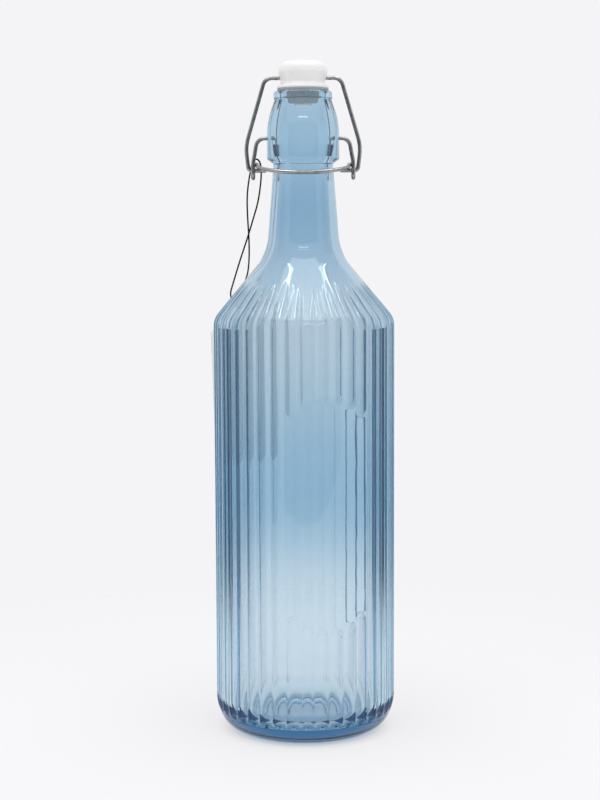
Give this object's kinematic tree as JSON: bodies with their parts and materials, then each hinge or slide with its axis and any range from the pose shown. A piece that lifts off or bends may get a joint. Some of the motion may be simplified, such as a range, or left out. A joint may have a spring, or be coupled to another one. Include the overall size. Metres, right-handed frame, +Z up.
{
  "type": "swing top bottle",
  "caption": "Tall fluted glass bottle with a plain oval panel, a wire bail lever, a hinged stopper with its gasket, and a card tag on a cord.",
  "frame": {"origin": "centre of the base, on the surface that the bottle stands on", "axes": "+Z up along the bottle's axis, -Y the front where the lever's bow lies, +X to the right seen from the front"},
  "size_m": [0.0884, 0.0894, 0.3187],
  "materials": {
    "blue_glass": "polished, pale steel blue",
    "white_plastic": "smooth moulded, slightly translucent white",
    "grey_seal": "soft matt grey",
    "steel_wire": "drawn bright wire",
    "black_cord": "twisted thin cord",
    "card": "plain matt card"
  },
  "bodies": {
    "bottle": {"glass_bottle": "blue_glass", "tag_cord": "black_cord", "cord_knot": "black_cord"},
    "lever": {"lever_bail": "steel_wire"},
    "yoke": {"stopper_yoke": "steel_wire"},
    "cap": {"stopper": "white_plastic", "gasket": "grey_seal"},
    "tag": {"hang_tag": "card"}
  },
  "joints": [
    {"name": "lever_hinge", "type": "hinge", "parent": "bottle", "child": "lever", "pos_m": [0, 0, 0.2827], "axis": [-1, 0, 0], "range_deg": [0, 85], "deforming": ["tag_cord"]},
    {"name": "yoke_hinge", "type": "hinge", "parent": "lever", "child": "yoke", "pos_m": [0, 0.0021, 0.26765], "axis": [-1, 0, 0], "range_deg": [-56.95, 0]},
    {"name": "stopper_hinge", "type": "hinge", "parent": "yoke", "child": "cap", "pos_m": [0, 0, 0.31075], "axis": [-1, 0, 0], "range_deg": [-28.05, 0]},
    {"name": "tag_swing", "type": "hinge", "parent": "bottle", "child": "tag", "pos_m": [-0.03244, 0.02921, 0.201], "axis": [-0.7431, 0.6691, 0], "range_deg": [-20, 20]}
  ],
  "couplings": [
    {"joint": "yoke_hinge", "follows": "lever_hinge", "ratio": -0.67},
    {"joint": "stopper_hinge", "follows": "lever_hinge", "ratio": -0.33}
  ]
}
